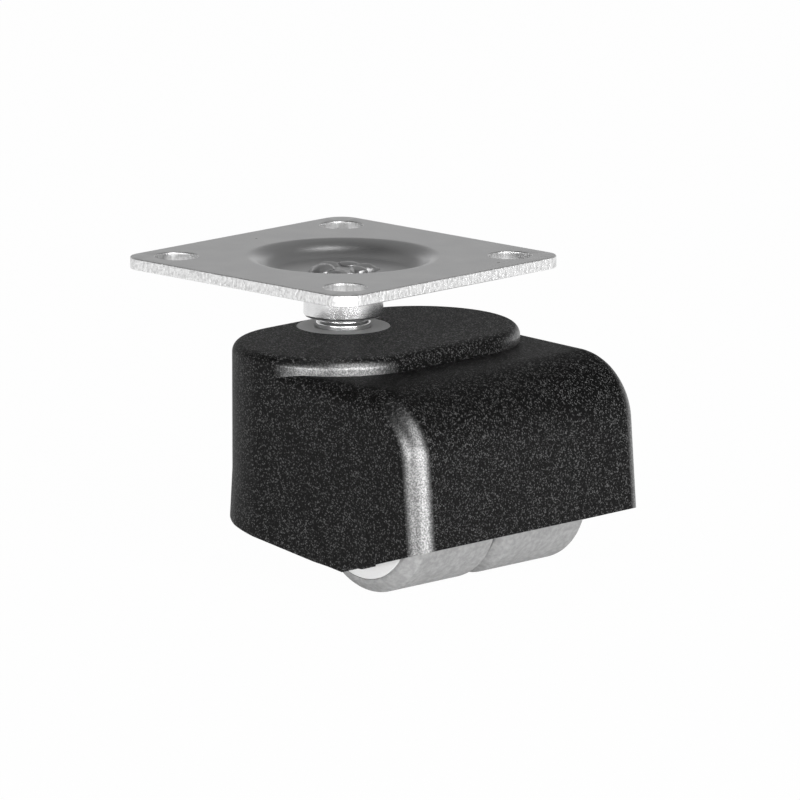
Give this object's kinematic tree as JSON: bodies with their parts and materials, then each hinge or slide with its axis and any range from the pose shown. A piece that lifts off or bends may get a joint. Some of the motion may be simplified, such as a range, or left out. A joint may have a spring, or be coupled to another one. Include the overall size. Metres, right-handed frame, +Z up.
{
  "type": "swivel roller castor",
  "caption": "Low swivel castor: square steel screw plate, riveted pin and black moulded hood over twin grey-tread rollers on one axle.",
  "frame": {"origin": "centre of the plate's top face, on the swivel axis", "axes": "+Z up out of the plate towards the furniture, +X along the trail towards the rollers, +Y along the axle"},
  "size_m": [0.0537, 0.041, 0.0385],
  "materials": {
    "zinc_plate": "zinc-plated pressed sheet, satin",
    "pin_steel": "turned and plated, bright",
    "spring_steel": "hardened, dark",
    "bush_grey": "matte",
    "housing_black": "moulded, fine spark-eroded grain",
    "axle_steel": "drawn, bright",
    "hub_white": "moulded, plain",
    "tread_grey": "soft tread, matte"
  },
  "bodies": {
    "plate": {"top_plate": "zinc_plate", "swivel_pin": "pin_steel", "retaining_ring": "spring_steel"},
    "hood": {"housing": "housing_black", "pin_bush": "bush_grey", "thrust_disc": "spring_steel", "axle": "axle_steel"},
    "left_roller": {"left_hub": "hub_white", "left_tread": "tread_grey"},
    "right_roller": {"right_hub": "hub_white", "right_tread": "tread_grey"}
  },
  "joints": [
    {"name": "swivel", "type": "hinge", "parent": "plate", "child": "hood", "pos_m": [0, 0, 0], "axis": [0, 0, 1], "continuous": true},
    {"name": "left_roll", "type": "hinge", "parent": "hood", "child": "left_roller", "pos_m": [0.0194, 0.00825, -0.029], "axis": [0, 1, 0], "continuous": true},
    {"name": "right_roll", "type": "hinge", "parent": "hood", "child": "right_roller", "pos_m": [0.0194, -0.00825, -0.029], "axis": [0, 1, 0], "continuous": true}
  ]
}
